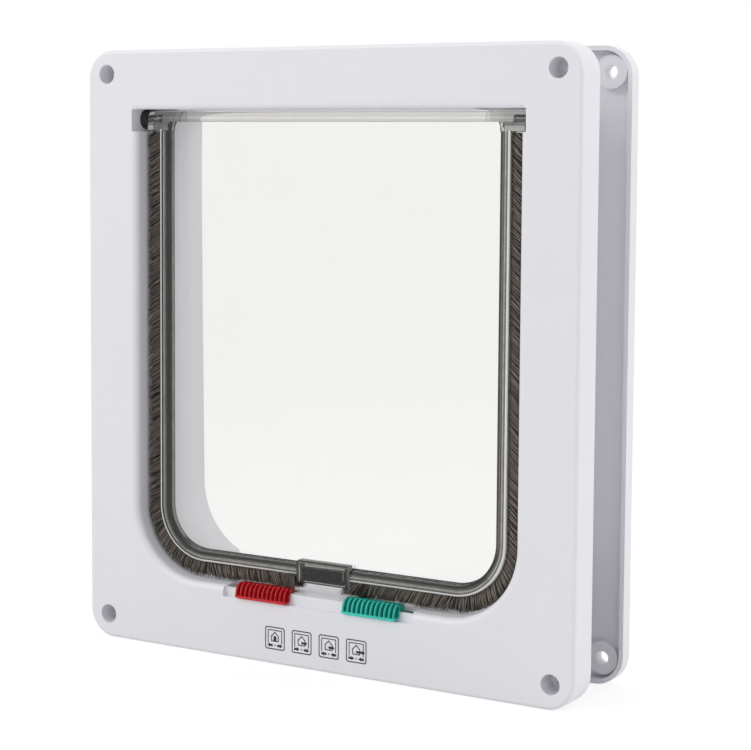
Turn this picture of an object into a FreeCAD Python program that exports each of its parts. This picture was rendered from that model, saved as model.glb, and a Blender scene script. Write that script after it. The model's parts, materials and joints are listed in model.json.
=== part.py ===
import FreeCAD, Part
import math
import os

from FreeCAD import Vector

# Four-way locking cat flap for a door panel, in millimetres.
# X runs to the right, Y from the room to the outside, Z up.
# All depths are measured back from the room-side face of the inner frame.
# The finished pieces are moved at the end, so that the origin lies under
# the middle of the whole, on the surface that the frames stand on.

# Inner and outer frames
frame_width = 230.0
frame_height = 250.0
frame_corner_radius = 12.0
inner_plate = 2.5
inner_wall = 2.2
inner_edge_radius = 1.6
door_thickness = 29.4
outer_frame_depth = 8.0
outer_plate = 2.5
outer_wall = 1.8
outer_edge_radius = 2.4
rib_thickness = 1.6
rib_height = 5.0
side_rib_count = 3
top_rib_count = 3

# Screw holes in the four corners
screw_inset = 10.0
screw_hole_radius = 2.25
counterbore_radius = 4.0
counterbore_depth = 9.5
screw_boss_radius = 6.0
outer_hole_radius = 2.7
outer_boss_radius = 6.6
outer_boss_height = 3.0

# Passage through the door, and the bands of the frames that go round it
side_band = 25.4
top_band = 25.1
sill_band = 29.5
opening_corner_radius = 30.0
lip_radius = 2.8
outer_lip_chamfer = 1.2
sleeve_wall = 1.8
sleeve_clearance = 0.3
inner_sleeve_length = 38.0
sleeve_overlap = 13.0

# Flap
pile_reach = 6.5
pile_side_gap = 0.9
pile_sill_gap = 0.7
rim_depth = 6.0
rim_width = 4.8
rim_edge_chamfer = 0.6
panel_setback = 2.4
panel_thickness = 2.8
top_bar_step = 0.2
top_bar_floor = 0.9

# Hinge
hinge_offset = 0.3
hinge_drop = 3.7
swing_clearance = 0.3
ear_length = 16.8
ear_side_gap = 1.3
ear_foot_drop = 4.7
pin_radius = 1.25
pin_running_gap = 0.05
pin_grip = 5.5
pin_end_gap = 0.6
collar_radius = 4.05
spigot_radius = 2.9
pocket_side_depth = 2.3
pocket_end_room = 2.0
pocket_room = 0.15
pocket_foot_room = 1.0
hinge_block_wall = 2.3

# Magnet housing at the foot of the flap
magnet_width = 19.4
magnet_height = 5.5
magnet_room = 0.1
magnet_wall = 0.9
magnet_end_wall = 2.4
magnet_floor = 1.1
magnet_roof = 2.5
magnet_cap_thickness = 1.0
magnet_box_proud = 1.5
magnet_box_drop = 2.9

# Pile strips
pile_top_gap = 2.3
pile_end_gap = 0.4

# Lock sliders
lock_travel = 6.0
slide_clearance = 0.3
grip_start_x = 13.0
grip_width = 25.5
grip_height = 6.4
grip_drop = 4.2
grip_proud = 1.7
grip_corner_radius = 2.4
grip_lip = 1.0
grip_flat_count = 3
ridge_count = 12
ridge_depth = 0.6
ridge_share = 0.55
recess_depth = 2.2
recess_end_room = 0.6
ledge_wall = 1.4
ledge_drop = 0.9
slot_spare = 2.8
bridge_thickness = 2.3
leg_depth = 2.0
peg_length = 1.2
peg_width = 6.0
peg_height = 1.2
carriage_height = 3.0
post_width = 4.5
post_depth = 1.4
front_post_depth = 1.2
post_flap_gap = 0.4
leg_flap_gap = 0.6
post_head_gap = 0.5

# Lugs under the flap that the latch posts meet
lug_gap = 2.1
lug_width = 3.4
lug_depth = 4.5
lug_overlap = 3.0

# Retainer under the sliders
retainer_thickness = 1.5
retainer_end_room = 2.0
retainer_flange_drop = 9.6
retainer_screw_x = 36.0
retainer_screw_drop = 5.6
retainer_boss_radius = 3.2
retainer_hole_radius = 1.5
retainer_screw_radius = 1.3
retainer_screw_length = 6.0
screw_head_radius = 2.6
screw_head_height = 1.6
screw_head_room = 1.0
sill_magnet_gap = 1.9
magnet_fence = 1.2
magnet_fence_height = 2.4
magnet_fence_gap = 2.6
sill_rib_gap = 15.8

# Places worked out from the sizes above, first the depths from the grips back to the frame's rim
grip_back = recess_depth - slide_clearance
ledge_back = recess_depth + ledge_wall
leg_front = ledge_back + slide_clearance
leg_back = leg_front + leg_depth
rim_front = leg_back + leg_flap_gap
rim_back = rim_front + rim_depth
post_front = rim_back + post_flap_gap
carriage_back = post_front + post_depth
inner_frame_depth = carriage_back + slide_clearance

half_width = frame_width / 2
opening_half = half_width - side_band
opening_bottom = sill_band
opening_top = frame_height - top_band
outer_front = inner_frame_depth + door_thickness
outer_back = outer_front + outer_frame_depth
outer_sleeve_start = inner_sleeve_length - sleeve_overlap
sill_underside = opening_bottom - sleeve_wall
hinge_z = opening_top - hinge_drop

panel_front = rim_front + panel_setback
hinge_y = rim_front + rim_depth / 2 + hinge_offset
pocket_back = hinge_y + collar_radius + pocket_room

flap_half = opening_half - pile_side_gap - pile_reach
flap_bottom = opening_bottom + pile_sill_gap + pile_reach
flap_corner_radius = opening_corner_radius - pile_side_gap - pile_reach
ear_radius = hinge_drop - swing_clearance
top_bar_radius = ear_radius - top_bar_step
bar_floor_z = hinge_z - top_bar_floor
ear_end = opening_half - ear_side_gap
ear_start = ear_end - ear_length
collar_start = ear_end + swing_clearance
pocket_side = opening_half + pocket_side_depth
pocket_start = ear_start - pocket_end_room
spigot_end = pocket_side + hinge_block_wall
magnet_box_front = rim_front - magnet_box_proud
magnet_front = magnet_box_front + magnet_wall
magnet_cap_front = rim_back - magnet_cap_thickness

grip_bottom = opening_bottom - grip_drop
grip_top = grip_bottom + grip_height
grip_end_x = grip_start_x + grip_width
recess_end_x = grip_end_x + lock_travel + recess_end_room
ledge_z = opening_bottom - ledge_drop
bridge_foot = ledge_z + slide_clearance
bridge_top = bridge_foot + bridge_thickness
leg_end_x = grip_end_x - slide_clearance
leg_start_x = grip_start_x + slide_clearance
carriage_top = sill_underside - slide_clearance
carriage_bottom = carriage_top - carriage_height
post_end_x = leg_start_x + post_width
post_top_z = flap_bottom - post_head_gap
lug_start_x = post_end_x + lug_gap
lug_bottom_z = post_top_z - lug_overlap
pile_top_z = hinge_z - ear_foot_drop - pile_top_gap
pile_start_x = magnet_width / 2 + magnet_room + magnet_end_wall + pile_end_gap
retainer_top = carriage_bottom - slide_clearance
retainer_back = inner_frame_depth - screw_head_height - screw_head_room
retainer_end_x = leg_end_x + lock_travel + retainer_end_room
retainer_screw_z = retainer_top - retainer_screw_drop
sill_magnet_half = leg_start_x - magnet_fence_gap - magnet_fence
sill_rib_x = retainer_end_x + sill_rib_gap

# The origin lies midway between the grips' fronts and the outer back face
origin_y = (outer_back - grip_proud) / 2

overshoot = 1.0
plane_tolerance = 1e-4
sides = {"left": -1, "right": 1}


def box(x_range, y_range, z_range):
    """Box between two limits along each axis, in either order."""
    low = [min(r) for r in (x_range, y_range, z_range)]
    size = [max(r) - min(r) for r in (x_range, y_range, z_range)]
    return Part.makeBox(*size, Vector(*low))


def mirrored(side, near, far):
    """X range between two distances from the middle, on one side."""
    return (side * near, side * far)


def cylinder_y(radius, x, z, y_start, y_end):
    """Round bar along Y."""
    return Part.makeCylinder(radius, y_end - y_start, Vector(x, y_start, z), Vector(0, 1, 0))


def cylinder_x(radius, side, near, far, y, z):
    """Round bar along X, between two distances from the middle."""
    return Part.makeCylinder(radius, far - near, Vector(side * near, y, z), Vector(side, 0, 0))


def corner_points(x, z, radius, x_sign, z_sign):
    """Start, middle and end of the arc that rounds one corner."""
    centre = Vector(x - x_sign * radius, 0, z - z_sign * radius)
    half = radius * math.sqrt(0.5)
    on_side = centre + Vector(x_sign * radius, 0, 0)
    middle = centre + Vector(x_sign * half, 0, z_sign * half)
    on_end = centre + Vector(0, 0, z_sign * radius)
    return on_side, middle, on_end


def rounded_outline(half, low, high, low_radius, high_radius):
    """Upright outline about X = 0, with its own radius at the foot and the top."""
    corners = [
        corner_points(half, low, low_radius, 1, -1),
        corner_points(half, high, high_radius, 1, 1),
        corner_points(-half, high, high_radius, -1, 1),
        corner_points(-half, low, low_radius, -1, -1),
    ]
    edges = []
    entry = corners[0][0]
    for index, (on_side, middle, on_end) in enumerate(corners):
        first, last = (on_end, on_side) if index % 2 == 0 else (on_side, on_end)
        if index:
            edges.append(Part.LineSegment(entry, first).toShape())
        if (last - first).Length > plane_tolerance:
            edges.append(Part.Arc(first, middle, last).toShape())
        entry = last
    start = corners[0][2]
    edges.append(Part.LineSegment(entry, start).toShape())
    return Part.Wire(edges)


def slab(outline, y_start, y_end):
    """Solid between two depths with the given upright outline."""
    solid = Part.Face(outline).extrude(Vector(0, y_end - y_start, 0))
    solid.translate(Vector(0, y_start, 0))
    return solid


def frame_slab(inset, y_start, y_end):
    """Slab with the frames' outline, drawn in by an inset."""
    radius = frame_corner_radius - inset
    outline = rounded_outline(half_width - inset, inset, frame_height - inset, radius, radius)
    return slab(outline, y_start, y_end)


def passage_slab(offset, y_start, y_end):
    """Slab with the passage's outline, pushed out by an offset."""
    outline = rounded_outline(
        opening_half + offset,
        opening_bottom - offset,
        opening_top + offset,
        opening_corner_radius + offset,
        0,
    )
    return slab(outline, y_start, y_end)


def flap_slab(inset, top, y_start, y_end):
    """Slab with the flap's outline, drawn in by an inset, up to a height."""
    radius = flap_corner_radius - inset
    outline = rounded_outline(flap_half - inset, flap_bottom + inset, top, radius, 0)
    return slab(outline, y_start, y_end)


def edges_at(solid, y, reach):
    """Edges of a solid that lie at one depth within a distance of the middle."""
    picked = []
    for edge in solid.Edges:
        limits = edge.BoundBox
        flat = abs(limits.YMin - y) < plane_tolerance and abs(limits.YMax - y) < plane_tolerance
        if flat and max(abs(limits.XMin), abs(limits.XMax)) < reach:
            picked.append(edge)
    return picked


def fused(shapes):
    """One solid from overlapping shapes."""
    return shapes[0].multiFuse(shapes[1:]).removeSplitter()


def screw_places():
    """Middle of each corner screw hole, as X and Z."""
    x = half_width - screw_inset
    return [(sx * x, z) for sx in (-1, 1) for z in (screw_inset, frame_height - screw_inset)]


def spread(low, high, count):
    """Evenly spaced places between two ends, without the ends."""
    step = (high - low) / (count + 1)
    return [low + step * (i + 1) for i in range(count)]


def inner_frame_ribs():
    """Low webs between the passage wall and the rim of the inner frame."""
    depth = (inner_plate - overshoot, inner_plate + rib_height)
    half = rib_thickness / 2
    rim_side = half_width - inner_wall / 2
    ribs = []
    for z in spread(opening_bottom, opening_top, side_rib_count):
        for side in sides.values():
            ribs.append(box(mirrored(side, opening_half, rim_side), depth, (z - half, z + half)))
    for x in spread(-opening_half, opening_half, top_rib_count):
        ribs.append(box((x - half, x + half), depth, (opening_top, frame_height - inner_wall / 2)))
    for side in sides.values():
        x = side * sill_rib_x
        ribs.append(box((x - half, x + half), depth, (inner_wall / 2, opening_bottom)))
    return ribs


def hinge_blocks():
    """Thick places beside the passage that carry the hinge bushes."""
    foot = hinge_z - collar_radius - pocket_foot_room - hinge_block_wall
    head = opening_top + sleeve_wall
    depth = (inner_plate - overshoot, pocket_back + sleeve_clearance)
    return [
        box(mirrored(side, opening_half, spigot_end), depth, (foot, head))
        for side in sides.values()
    ]


def hinge_pockets():
    """Room in the frame for the hinge ears and the collars of the bushes."""
    foot = hinge_z - collar_radius - pocket_foot_room
    head = hinge_z + collar_radius + pocket_room
    cuts = []
    for side in sides.values():
        cuts.append(box(mirrored(side, pocket_start, pocket_side), (-overshoot, pocket_back), (foot, head)))
        bore = (pocket_side - overshoot, spigot_end + overshoot)
        cuts.append(cylinder_x(spigot_radius, side, *bore, hinge_y, hinge_z))
    return cuts


def lock_wall():
    """Thick place behind the shallow recess that the grips slide in."""
    ends = (-recess_end_x - ledge_wall, recess_end_x + ledge_wall)
    return box(ends, (inner_plate - overshoot, ledge_back), (retainer_top, opening_bottom))


def lock_cuts():
    """Recess for the grips, and the slots for the latches' legs and posts."""
    recess_z = (grip_bottom - slide_clearance, opening_bottom + lip_radius)
    cuts = [box((-recess_end_x, recess_end_x), (-overshoot, recess_depth), recess_z)]
    through_sill = (sill_underside - overshoot, opening_bottom + overshoot)
    slot_back = leg_back + slide_clearance + slot_spare
    post_depths = (post_front - slide_clearance, carriage_back + slide_clearance)
    travel = lock_travel + slide_clearance
    for side in sides.values():
        slot = mirrored(side, leg_start_x - slide_clearance, leg_end_x + travel)
        cuts.append(box(slot, (0, slot_back), (ledge_z, opening_bottom + overshoot)))
        cuts.append(box(slot, (ledge_back, slot_back), through_sill))
    post_way = (leg_start_x - slide_clearance, post_end_x + travel)
    cuts.append(box(post_way, post_depths, through_sill))
    return cuts


def retainer_bosses():
    """Round bosses that the retainer is screwed to."""
    depths = (inner_plate - overshoot, retainer_back - retainer_thickness)
    return [
        cylinder_y(retainer_boss_radius, side * retainer_screw_x, retainer_screw_z, *depths)
        for side in sides.values()
    ]


def make_inner_frame():
    """Room-side moulding: face plate, rim, passage sleeve, bosses and ribs."""
    shell = frame_slab(0, 0, inner_frame_depth)
    shell = shell.makeFillet(inner_edge_radius, edges_at(shell, 0, frame_width))
    shell = shell.cut(frame_slab(inner_wall, inner_plate, inner_frame_depth + overshoot))
    parts = [shell, passage_slab(sleeve_wall, inner_plate - overshoot, inner_sleeve_length)]
    parts += inner_frame_ribs() + hinge_blocks() + retainer_bosses() + [lock_wall()]
    for x, z in screw_places():
        parts.append(cylinder_y(screw_boss_radius, x, z, inner_plate - overshoot, inner_frame_depth))
    body = fused(parts)
    body = body.cut(passage_slab(0, -overshoot, inner_sleeve_length + overshoot))
    body = body.makeFillet(lip_radius, edges_at(body, 0, opening_half + overshoot))
    cuts = hinge_pockets() + lock_cuts()
    for x, z in screw_places():
        cuts.append(cylinder_y(counterbore_radius, x, z, -overshoot, counterbore_depth))
        cuts.append(cylinder_y(screw_hole_radius, x, z, 0, inner_frame_depth + overshoot))
    pilot = (retainer_back - retainer_screw_length, retainer_back)
    for side in sides.values():
        x = side * retainer_screw_x
        cuts.append(cylinder_y(retainer_screw_radius, x, retainer_screw_z, *pilot))
    return body.cut(cuts)


def make_outer_frame():
    """Outside moulding: shallow tray with a sleeve that fits over the inner one."""
    fit = sleeve_wall + sleeve_clearance
    tray = frame_slab(0, outer_front, outer_back)
    tray = tray.makeFillet(outer_edge_radius, edges_at(tray, outer_back, frame_width))
    floor = outer_back - outer_plate
    tray = tray.cut(frame_slab(outer_wall, outer_front - overshoot, floor))
    parts = [tray, passage_slab(fit + sleeve_wall, outer_sleeve_start, floor + overshoot)]
    for x, z in screw_places():
        parts.append(cylinder_y(outer_boss_radius, x, z, floor - outer_boss_height, floor + overshoot))
    body = fused(parts)
    body = body.cut(passage_slab(fit, outer_sleeve_start - overshoot, outer_back + overshoot))
    lip = edges_at(body, outer_back, opening_half + fit + overshoot)
    body = body.makeChamfer(outer_lip_chamfer, lip)
    holes = [
        cylinder_y(outer_hole_radius, x, z, outer_front, outer_back + overshoot)
        for x, z in screw_places()
    ]
    return body.cut(holes)


def round_bar(radius, side, near, far, floor):
    """Bar about the hinge line, flat underneath at a height."""
    bar = cylinder_x(radius, side, near, far, hinge_y, hinge_z)
    reach = radius + overshoot
    keep = box(mirrored(side, near, far), (hinge_y - reach, hinge_y + reach), (floor, hinge_z + reach))
    return bar.common(keep)


def hinge_ear(side):
    """Corner of the flap that holds one hinge pin."""
    foot = box(
        mirrored(side, flap_half - rim_width, ear_end),
        (rim_front, rim_back),
        (hinge_z - ear_foot_drop, hinge_z),
    )
    ear = cylinder_x(ear_radius, side, flap_half - rim_width, ear_end, hinge_y, hinge_z)
    return [round_bar(ear_radius, side, ear_start, ear_end, bar_floor_z), ear, foot]


def magnet_ranges(grow):
    """X, Y and Z limits of the magnet's room, or of the housing round it if grown by 1."""
    half = magnet_width / 2 + magnet_room + grow * magnet_end_wall
    foot = flap_bottom - magnet_box_drop + magnet_floor
    head = foot + magnet_height + magnet_room + grow * magnet_roof
    foot -= grow * magnet_floor
    return (-half, half), (magnet_front - grow * magnet_wall, rim_back), (foot, head)


def make_flap_panel():
    """Clear flap: thin panel, raised rim, top bar and hinge ears."""
    ring = flap_slab(0, bar_floor_z, rim_front, rim_back)
    ring = ring.makeChamfer(rim_edge_chamfer, edges_at(ring, rim_front, frame_width))
    inner = flap_slab(rim_width, bar_floor_z + overshoot, rim_front - overshoot, rim_back + overshoot)
    ring = ring.cut(inner)
    panel = flap_slab(rim_width / 2, hinge_z, panel_front, panel_front + panel_thickness)
    parts = [ring, panel]
    for side in sides.values():
        parts.append(round_bar(top_bar_radius, side, 0, ear_start + overshoot, bar_floor_z))
        parts += hinge_ear(side)
    body = fused(parts)
    cuts = [box(*magnet_ranges(1))]
    for side in sides.values():
        bore = (ear_end - pin_grip, ear_end + overshoot)
        cuts.append(cylinder_x(pin_radius, side, *bore, hinge_y, hinge_z))
    return body.cut(cuts)


def make_magnet_housing():
    """Clear box set into the foot of the flap, open behind for the magnet."""
    return box(*magnet_ranges(1)).cut(box(*magnet_ranges(0)))


def make_lock_lug(side):
    """Block under the flap: the left one meets a post in front of it, the right one a post behind."""
    ends = mirrored(side, lug_start_x, lug_start_x + lug_width)
    depth = (rim_front, rim_front + lug_depth) if side < 0 else (rim_back - lug_depth, rim_back)
    return box(ends, depth, (lug_bottom_z, flap_bottom))


def make_hinge_pin(side):
    """Steel pin pressed into the flap's ear, free to turn in the bush."""
    ends = (ear_end - pin_grip, spigot_end - pin_end_gap)
    return cylinder_x(pin_radius, side, *ends, hinge_y, hinge_z)


def make_pivot_bush(side):
    """Nylon bush with a thick collar, pressed into the side of the pocket."""
    collar = cylinder_x(collar_radius, side, collar_start, pocket_side, hinge_y, hinge_z)
    spigot = cylinder_x(spigot_radius, side, pocket_side, spigot_end, hinge_y, hinge_z)
    bore = (collar_start - overshoot, spigot_end + overshoot)
    hole = cylinder_x(pin_radius + pin_running_gap, side, *bore, hinge_y, hinge_z)
    return fused([collar, spigot]).cut(hole)


def make_brush_strip(side):
    """Pile strip round one half of the flap's edge, from the magnet housing up to the hinge."""
    radius = flap_corner_radius + pile_reach
    outline = rounded_outline(flap_half + pile_reach, flap_bottom - pile_reach, pile_top_z, radius, 0)
    band = slab(outline, rim_front, rim_back)
    depth = (rim_front - overshoot, rim_back + overshoot)
    cuts = [
        flap_slab(0, pile_top_z + overshoot, *depth),
        box(mirrored(side, -frame_width, pile_start_x), depth, (0, frame_height)),
        make_lock_lug(side),
    ]
    return band.cut(cuts)


def make_flap_magnet():
    """Block magnet in the foot of the flap."""
    half = magnet_width / 2
    foot = magnet_ranges(0)[2][0]
    depth = (magnet_front, magnet_cap_front - magnet_room)
    return box((-half, half), depth, (foot, foot + magnet_height))


def make_magnet_cap():
    """Lid that closes the mouth of the magnet housing, flush with its back."""
    x_range, y_range, z_range = magnet_ranges(0)
    return box(x_range, (magnet_cap_front, rim_back), z_range)


def grip_section(inset):
    """Side outline of a grip: flat back, front that leans back in flats, in the plane X = 0."""
    front = -grip_proud + inset
    foot = grip_bottom + inset
    shoulder = foot + grip_lip
    rise = grip_top - inset - shoulder
    corners = [Vector(0, grip_back, foot), Vector(0, front, foot)]
    for index in range(grip_flat_count + 1):
        angle = math.pi / 2 * index / grip_flat_count
        y = grip_back - (grip_back - front) * math.cos(angle)
        corners.append(Vector(0, y, shoulder + rise * math.sin(angle)))
    return Part.Face(Part.makePolygon(corners + corners[:1]))


def grip_length(face, start, length):
    """Stretch of a grip with the given side outline."""
    solid = face.extrude(Vector(length, 0, 0))
    solid.translate(Vector(start, 0, 0))
    return solid


def make_grip(side):
    """Finger grip of one slider, with upright ridges over a plain lip."""
    start = min(side * grip_start_x, side * grip_end_x)
    core = grip_length(grip_section(ridge_depth), start, grip_width)
    full = grip_section(0)
    foot = box((start, start + grip_width), (-grip_proud, grip_back), (0, grip_bottom + grip_lip))
    lip = grip_length(full, start, grip_width).common(foot)
    pitch = grip_width / ridge_count
    ridge = pitch * ridge_share
    parts = [core, lip]
    for index in range(ridge_count):
        parts.append(grip_length(full, start + pitch * (index + 0.5) - ridge / 2, ridge))
    grip = fused(parts)
    middle = start + grip_width / 2
    outline = rounded_outline(grip_width / 2, grip_bottom, grip_top, grip_corner_radius, grip_corner_radius)
    blank = slab(outline, -grip_proud, grip_back)
    blank.translate(Vector(middle, 0, 0))
    return grip.common(blank).cut(latch_peg(side))


def latch_peg(side):
    """Peg that joins a latch to its grip."""
    middle = (leg_start_x + leg_end_x) / 2
    ends = mirrored(side, middle - peg_width / 2, middle + peg_width / 2)
    return box(ends, (grip_back - peg_length, grip_back), (bridge_foot, bridge_foot + peg_height))


def make_latch(side):
    """Hidden half of a slider: bridge over the ledge, leg, carriage, and post before or behind the flap."""
    leg_ends = mirrored(side, leg_start_x, leg_end_x)
    bridge = box(leg_ends, (grip_back, leg_back), (bridge_foot, bridge_top))
    leg = box(leg_ends, (leg_front, leg_back), (carriage_bottom, bridge_top))
    carriage = box(leg_ends, (leg_front, carriage_back), (carriage_bottom, carriage_top))
    post_place = (leg_back - front_post_depth, leg_back) if side < 0 else (post_front, carriage_back)
    post_ends = mirrored(side, leg_start_x, post_end_x)
    post = box(post_ends, post_place, (carriage_bottom, post_top_z))
    return fused([bridge, leg, carriage, post, latch_peg(side)])


def make_latch_retainer():
    """Angle strip that carries both latches and the sill magnet."""
    ends = (-retainer_end_x, retainer_end_x)
    foot = retainer_top - retainer_thickness
    shelf = box(ends, (leg_front, retainer_back), (foot, retainer_top))
    flange_foot = retainer_top - retainer_flange_drop
    flange = box(ends, (retainer_back - retainer_thickness, retainer_back), (flange_foot, retainer_top))
    parts = [shelf, flange]
    fence_top = retainer_top + magnet_fence_height
    for side in sides.values():
        fence = mirrored(side, sill_magnet_half, sill_magnet_half + magnet_fence)
        parts.append(box(fence, (leg_front, retainer_back), (foot, fence_top)))
    depths = (leg_front, retainer_back + overshoot)
    holes = [
        cylinder_y(retainer_hole_radius, side * retainer_screw_x, retainer_screw_z, *depths)
        for side in sides.values()
    ]
    return fused(parts).cut(holes)


def make_retainer_screws():
    """Two small round-headed screws that hold the retainer."""
    start = retainer_back - retainer_screw_length
    crown = retainer_back + screw_head_height
    screws = []
    for side in sides.values():
        x = side * retainer_screw_x
        shank = cylinder_y(retainer_screw_radius, x, retainer_screw_z, start, retainer_back + overshoot)
        head = cylinder_y(screw_head_radius, x, retainer_screw_z, retainer_back, crown)
        screws.append(fused([shank, head]))
    return Part.makeCompound(screws)


def make_sill_magnet():
    """Block magnet under the sill that holds the flap shut."""
    ends = (-sill_magnet_half, sill_magnet_half)
    depth = (ledge_back + sill_magnet_gap, retainer_back)
    return box(ends, depth, (retainer_top, sill_underside))


def all_pieces():
    """Every separate piece of the cat flap by name."""
    pieces = {
        "inner_frame": make_inner_frame(),
        "outer_frame": make_outer_frame(),
        "flap_panel": make_flap_panel(),
        "magnet_housing": make_magnet_housing(),
        "flap_magnet": make_flap_magnet(),
        "magnet_cap": make_magnet_cap(),
        "latch_retainer": make_latch_retainer(),
        "retainer_screws": make_retainer_screws(),
        "sill_magnet": make_sill_magnet(),
    }
    for name, side in sides.items():
        pieces["hinge_pin_" + name] = make_hinge_pin(side)
        pieces["pivot_bush_" + name] = make_pivot_bush(side)
        pieces["brush_strip_" + name] = make_brush_strip(side)
        pieces["lock_lug_" + name] = make_lock_lug(side)
    for colour, side in (("red", -1), ("green", 1)):
        pieces[colour + "_lock_grip"] = make_grip(side)
        pieces[colour + "_latch"] = make_latch(side)
    return pieces


os.makedirs("parts", exist_ok=True)
for piece_name, piece in all_pieces().items():
    piece.translate(Vector(0, -origin_y, 0))
    piece.exportStep("parts/" + piece_name + ".step")
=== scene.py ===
import json
import math

import bmesh
import bpy
import numpy as np
from mathutils import Matrix, Vector


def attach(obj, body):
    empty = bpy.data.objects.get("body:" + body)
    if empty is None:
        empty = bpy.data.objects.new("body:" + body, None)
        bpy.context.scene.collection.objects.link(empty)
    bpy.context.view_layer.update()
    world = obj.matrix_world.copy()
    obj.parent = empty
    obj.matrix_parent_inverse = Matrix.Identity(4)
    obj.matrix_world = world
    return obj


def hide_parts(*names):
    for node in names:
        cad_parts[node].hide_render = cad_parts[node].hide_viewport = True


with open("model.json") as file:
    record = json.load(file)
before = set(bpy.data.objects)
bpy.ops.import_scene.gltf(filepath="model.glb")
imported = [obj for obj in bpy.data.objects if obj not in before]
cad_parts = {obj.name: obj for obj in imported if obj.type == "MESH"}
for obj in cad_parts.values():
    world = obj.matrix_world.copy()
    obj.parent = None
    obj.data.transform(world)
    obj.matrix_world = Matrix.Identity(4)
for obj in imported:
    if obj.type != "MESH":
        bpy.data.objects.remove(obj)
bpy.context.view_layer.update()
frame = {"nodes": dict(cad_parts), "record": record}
nodes = frame["nodes"]
MM = 0.001

# Sizes of the model's source, in millimetres. Depths are counted from the room-side face.
FACE_Y = -25.15
FLAP_HALF = 82.2
FLAP_BOTTOM = 36.7
FLAP_CORNER = 22.6
RIM_WIDTH = 4.3
RIM_FRONT = 6.5
RIM_BACK = 12.5
PANEL_FRONT = 8.9
PANEL_BACK = 11.7
HINGE_Y = 9.8
HINGE_Z = 221.2
BAR_FLOOR = 220.3
EAR_END = 88.3
PILE_START = 12.6
GRIP_START = 13.0
GRIP_LENGTH = 25.5
GRIP_FOOT = 25.3
GRIP_TOP = 31.7
GRIP_BACK = 1.9

# Sizes of the finer forms that only this scene has.
GROOVE_DEPTH = 0.9
GROOVE_FRONT = 8.3
GROOVE_BACK = 10.7
PILE_TOP = 216.2
SIDE_RUN = PILE_TOP - FLAP_BOTTOM - FLAP_CORNER
CORNER_RUN = FLAP_CORNER * math.pi / 2
FOOT_TURN = 1.55
LUG_ZONE = (19.5, 25.8)
POST_ZONE_END = 19.6
POST_SHARE = 0.34
RIB_PITCH = GRIP_LENGTH / 12
GRIP_SHOULDER = 26.3
GRIP_CORNER = 1.9
BOX_NOTCH = ((-12.22, 4, 33.5), (12.22, 13.5, 43.02))
MAGNET_ROOM = ((-9.8, 5.9, 34.9), (9.8, 13.5, 40.5))
BOX_HALF = 12.17
# Distance from the middle past which the box's front gets a painted dark edge.
BOX_PAINTED_EDGE_LINE = 11.0
SIGN_MIDDLE = 0.3
SIGN_PITCH = 12.95
SIGN_DEPTHS = (-0.035, 0.03)

# Tones of the clear plastic, painted light and shade among them: below 0 a painted highlight,
# 0 clear, 0.5 smoky, 1 a painted dark edge; the rim is painted darker on the right and darkest at the foot.
TONE = {
    "painted_highlight_edge": -0.5, "box_end_painted_light": -0.2, "painted_highlight_step": -0.05, "clear": 0.0, "bar": 0.12,
    "ear": 0.28, "ear_foot": 0.34, "box_front": 0.36, "smoky": 0.5, "left_rim_painted_shade": 0.64,
    "right_rim_painted_shade": 0.77, "box_top_painted_shade": 0.8, "foot_rim_painted_shade": 0.84, "painted_dark_edge": 1.0,
}

# Place and axes of the camera, from a fit to the photograph, in metres.
CAMERA_PLACE = Vector((0.42436, -0.68378, 0.2118))
CAMERA_RIGHT = Vector((0.85626408, 0.51649446, 0.00673073))
CAMERA_UP = Vector((-0.04639757, 0.0639288, 0.99687531))

FLOOR_RADIUS = 4
FLOOR_POINTS = 96


# ---- camera, lamps, world and floor ----

def make_camera():
    """Camera that stands where the photograph was taken from."""
    data = bpy.data.cameras.new("camera")
    data.lens = 95.0
    data.sensor_width = 36.0
    data.shift_y = -0.0999
    data.clip_start = 0.05
    data.clip_end = 20.0
    cam = bpy.data.objects.new("camera", data)
    bpy.context.scene.collection.objects.link(cam)
    back = CAMERA_RIGHT.cross(CAMERA_UP)
    turn = Matrix((CAMERA_RIGHT, CAMERA_UP, back)).transposed().to_4x4()
    cam.matrix_world = Matrix.Translation(CAMERA_PLACE) @ turn
    bpy.context.scene.camera = cam


def make_lamp(name, place, size, watts):
    """Square soft lamp that faces the middle of the flap."""
    data = bpy.data.lights.new(name, "AREA")
    data.size = size
    data.energy = watts
    lamp = bpy.data.objects.new(name, data)
    bpy.context.scene.collection.objects.link(lamp)
    lamp.location = place
    lamp.rotation_mode = "QUATERNION"
    lamp.rotation_quaternion = (Vector((0, 0, 0.13)) - Vector(place)).to_track_quat("-Z", "Y")


def link(tree, source, target):
    tree.links.new(source, target)


def unlit_rays(tree):
    """Socket that is 1 for rays that come from the camera, a reflection or clear plastic."""
    path = tree.nodes.new("ShaderNodeLightPath")
    first = tree.nodes.new("ShaderNodeMath")
    first.operation = "MAXIMUM"
    second = tree.nodes.new("ShaderNodeMath")
    second.operation = "MAXIMUM"
    link(tree, path.outputs["Is Camera Ray"], first.inputs[0])
    link(tree, path.outputs["Is Glossy Ray"], first.inputs[1])
    link(tree, first.outputs[0], second.inputs[0])
    link(tree, path.outputs["Is Transmission Ray"], second.inputs[1])
    return second.outputs[0]


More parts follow.
